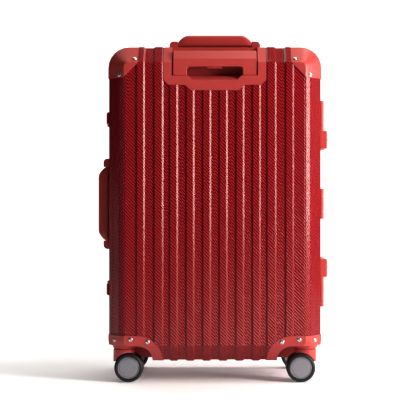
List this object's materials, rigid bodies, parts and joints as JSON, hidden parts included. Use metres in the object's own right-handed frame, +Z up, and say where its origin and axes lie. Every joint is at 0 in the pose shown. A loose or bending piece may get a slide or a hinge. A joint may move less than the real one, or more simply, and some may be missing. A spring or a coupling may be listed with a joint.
{
  "type": "wheeled suitcase",
  "caption": "Upright hard-shell case in two ribbed halves, with a telescopic pull handle, carry handles, latches and swivelling twin wheels.",
  "frame": {"origin": "centre of the whole object's box, on the floor under the wheels", "axes": "+Z up, trolley side faces -Y, lid faces +Y, hinges on +X, side handle and latches on -X"},
  "size_m": [0.4651, 0.2694, 0.6952],
  "materials": {
    "red_shell": "satin embossed polycarbonate",
    "red_fittings": "satin",
    "red_frame": "satin anodised look",
    "black_rubber": "matt",
    "tyre_rubber": "matt tread",
    "grey_plastic": "satin",
    "aluminium": "anodised",
    "lining_fabric": "woven lining",
    "webbing": "woven webbing"
  },
  "bodies": {
    "rear_half": {"rear_shell": "red_shell", "rear_frame": "red_frame", "frame_seal": "black_rubber", "rear_lining": "lining_fabric", "packing_straps": "webbing", "corner_guard_rear_left": "red_fittings", "corner_guard_rear_right": "red_fittings", "wheel_housing_rear_left": "red_fittings", "wheel_housing_rear_right": "red_fittings", "trolley_bezel": "red_fittings", "trolley_sleeves": "aluminium", "top_handle_lug_left": "red_fittings", "top_handle_lug_right": "red_fittings", "side_handle_lug_upper": "red_fittings", "side_handle_lug_lower": "red_fittings", "hinge_lower_rear_leaf": "red_fittings", "hinge_middle_rear_leaf": "red_fittings", "hinge_upper_rear_leaf": "red_fittings", "side_foot_rear_lower": "red_fittings", "side_foot_rear_upper": "red_fittings"},
    "lid_half": {"front_shell": "red_shell", "front_frame": "red_frame", "front_lining": "lining_fabric", "corner_guard_front_left": "red_fittings", "corner_guard_front_right": "red_fittings", "wheel_housing_front_left": "red_fittings", "wheel_housing_front_right": "red_fittings", "hinge_lower_lid_leaf": "red_fittings", "hinge_middle_lid_leaf": "red_fittings", "hinge_upper_lid_leaf": "red_fittings", "side_foot_front_lower": "red_fittings", "side_foot_front_upper": "red_fittings", "latch_base_lower": "red_fittings", "latch_base_upper": "red_fittings"},
    "pull_grip": {"trolley_grip": "red_fittings", "inner_tube_left": "aluminium", "inner_tube_right": "aluminium"},
    "middle_tubes": {"middle_tube_left": "aluminium", "middle_tube_right": "aluminium"},
    "release_button": {"trolley_button": "red_fittings"},
    "top_handle": {"top_handle_grip": "red_fittings"},
    "side_handle": {"side_handle_grip": "red_fittings"},
    "latch_lower": {"latch_lever_lower": "red_fittings"},
    "latch_upper": {"latch_lever_upper": "red_fittings"},
    "caster_rear_left": {"caster_fork_rear_left": "red_fittings"},
    "wheels_rear_left": {"wheel_core_rear_left": "grey_plastic", "tyre_rear_left_inner": "tyre_rubber", "tyre_rear_left_outer": "tyre_rubber"},
    "caster_rear_right": {"caster_fork_rear_right": "red_fittings"},
    "wheels_rear_right": {"wheel_core_rear_right": "grey_plastic", "tyre_rear_right_inner": "tyre_rubber", "tyre_rear_right_outer": "tyre_rubber"},
    "caster_front_left": {"caster_fork_front_left": "red_fittings"},
    "wheels_front_left": {"wheel_core_front_left": "grey_plastic", "tyre_front_left_inner": "tyre_rubber", "tyre_front_left_outer": "tyre_rubber"},
    "caster_front_right": {"caster_fork_front_right": "red_fittings"},
    "wheels_front_right": {"wheel_core_front_right": "grey_plastic", "tyre_front_right_inner": "tyre_rubber", "tyre_front_right_outer": "tyre_rubber"}
  },
  "joints": [
    {"name": "lid_hinge", "type": "hinge", "parent": "rear_half", "child": "lid_half", "pos_m": [0.22455, 0, 0.35185], "axis": [0, 0, -1], "range_deg": [0, 100]},
    {"name": "trolley_slide", "type": "slide", "parent": "rear_half", "child": "pull_grip", "axis": [0, 0, 1], "range_m": [0, 0.4]},
    {"name": "middle_slide", "type": "slide", "parent": "rear_half", "child": "middle_tubes", "axis": [0, 0, 1], "range_m": [0, 0.2]},
    {"name": "button_press", "type": "slide", "parent": "pull_grip", "child": "release_button", "axis": [0, 0, 1], "range_m": [0, 0.003], "stiffness_N_per_m": 400, "springref_m": -0.002},
    {"name": "top_handle_pull", "type": "slide", "parent": "rear_half", "child": "top_handle", "axis": [0, 0, 1], "range_m": [0, 0.01], "stiffness_N_per_m": 400, "springref_m": -0.003},
    {"name": "side_handle_pull", "type": "slide", "parent": "rear_half", "child": "side_handle", "axis": [-1, 0, 0], "range_m": [0, 0.0095], "stiffness_N_per_m": 400, "springref_m": -0.003},
    {"name": "latch_lower_turn", "type": "hinge", "parent": "lid_half", "child": "latch_lower", "pos_m": [-0.21625, 0.0455, 0.17655], "axis": [0, 0, -1], "range_deg": [0, 90]},
    {"name": "latch_upper_turn", "type": "hinge", "parent": "lid_half", "child": "latch_upper", "pos_m": [-0.21625, 0.0455, 0.52715], "axis": [0, 0, -1], "range_deg": [0, 90]},
    {"name": "swivel_rear_left", "type": "hinge", "parent": "rear_half", "child": "caster_rear_left", "pos_m": [-0.17545, -0.098, 0], "axis": [0, 0, 1], "continuous": true},
    {"name": "spin_rear_left", "type": "hinge", "parent": "caster_rear_left", "child": "wheels_rear_left", "pos_m": [-0.16545, -0.098, 0.0285], "axis": [0, 1, 0], "continuous": true},
    {"name": "swivel_rear_right", "type": "hinge", "parent": "rear_half", "child": "caster_rear_right", "pos_m": [0.18455, -0.098, 0], "axis": [0, 0, 1], "continuous": true},
    {"name": "spin_rear_right", "type": "hinge", "parent": "caster_rear_right", "child": "wheels_rear_right", "pos_m": [0.17455, -0.098, 0.0285], "axis": [0, 1, 0], "continuous": true},
    {"name": "swivel_front_left", "type": "hinge", "parent": "lid_half", "child": "caster_front_left", "pos_m": [-0.17545, 0.098, 0], "axis": [0, 0, 1], "continuous": true},
    {"name": "spin_front_left", "type": "hinge", "parent": "caster_front_left", "child": "wheels_front_left", "pos_m": [-0.16545, 0.098, 0.0285], "axis": [0, 1, 0], "continuous": true},
    {"name": "swivel_front_right", "type": "hinge", "parent": "lid_half", "child": "caster_front_right", "pos_m": [0.18455, 0.098, 0], "axis": [0, 0, 1], "continuous": true},
    {"name": "spin_front_right", "type": "hinge", "parent": "caster_front_right", "child": "wheels_front_right", "pos_m": [0.17455, 0.098, 0.0285], "axis": [0, 1, 0], "continuous": true}
  ],
  "couplings": [
    {"joint": "middle_slide", "follows": "trolley_slide", "ratio": 0.5}
  ]
}
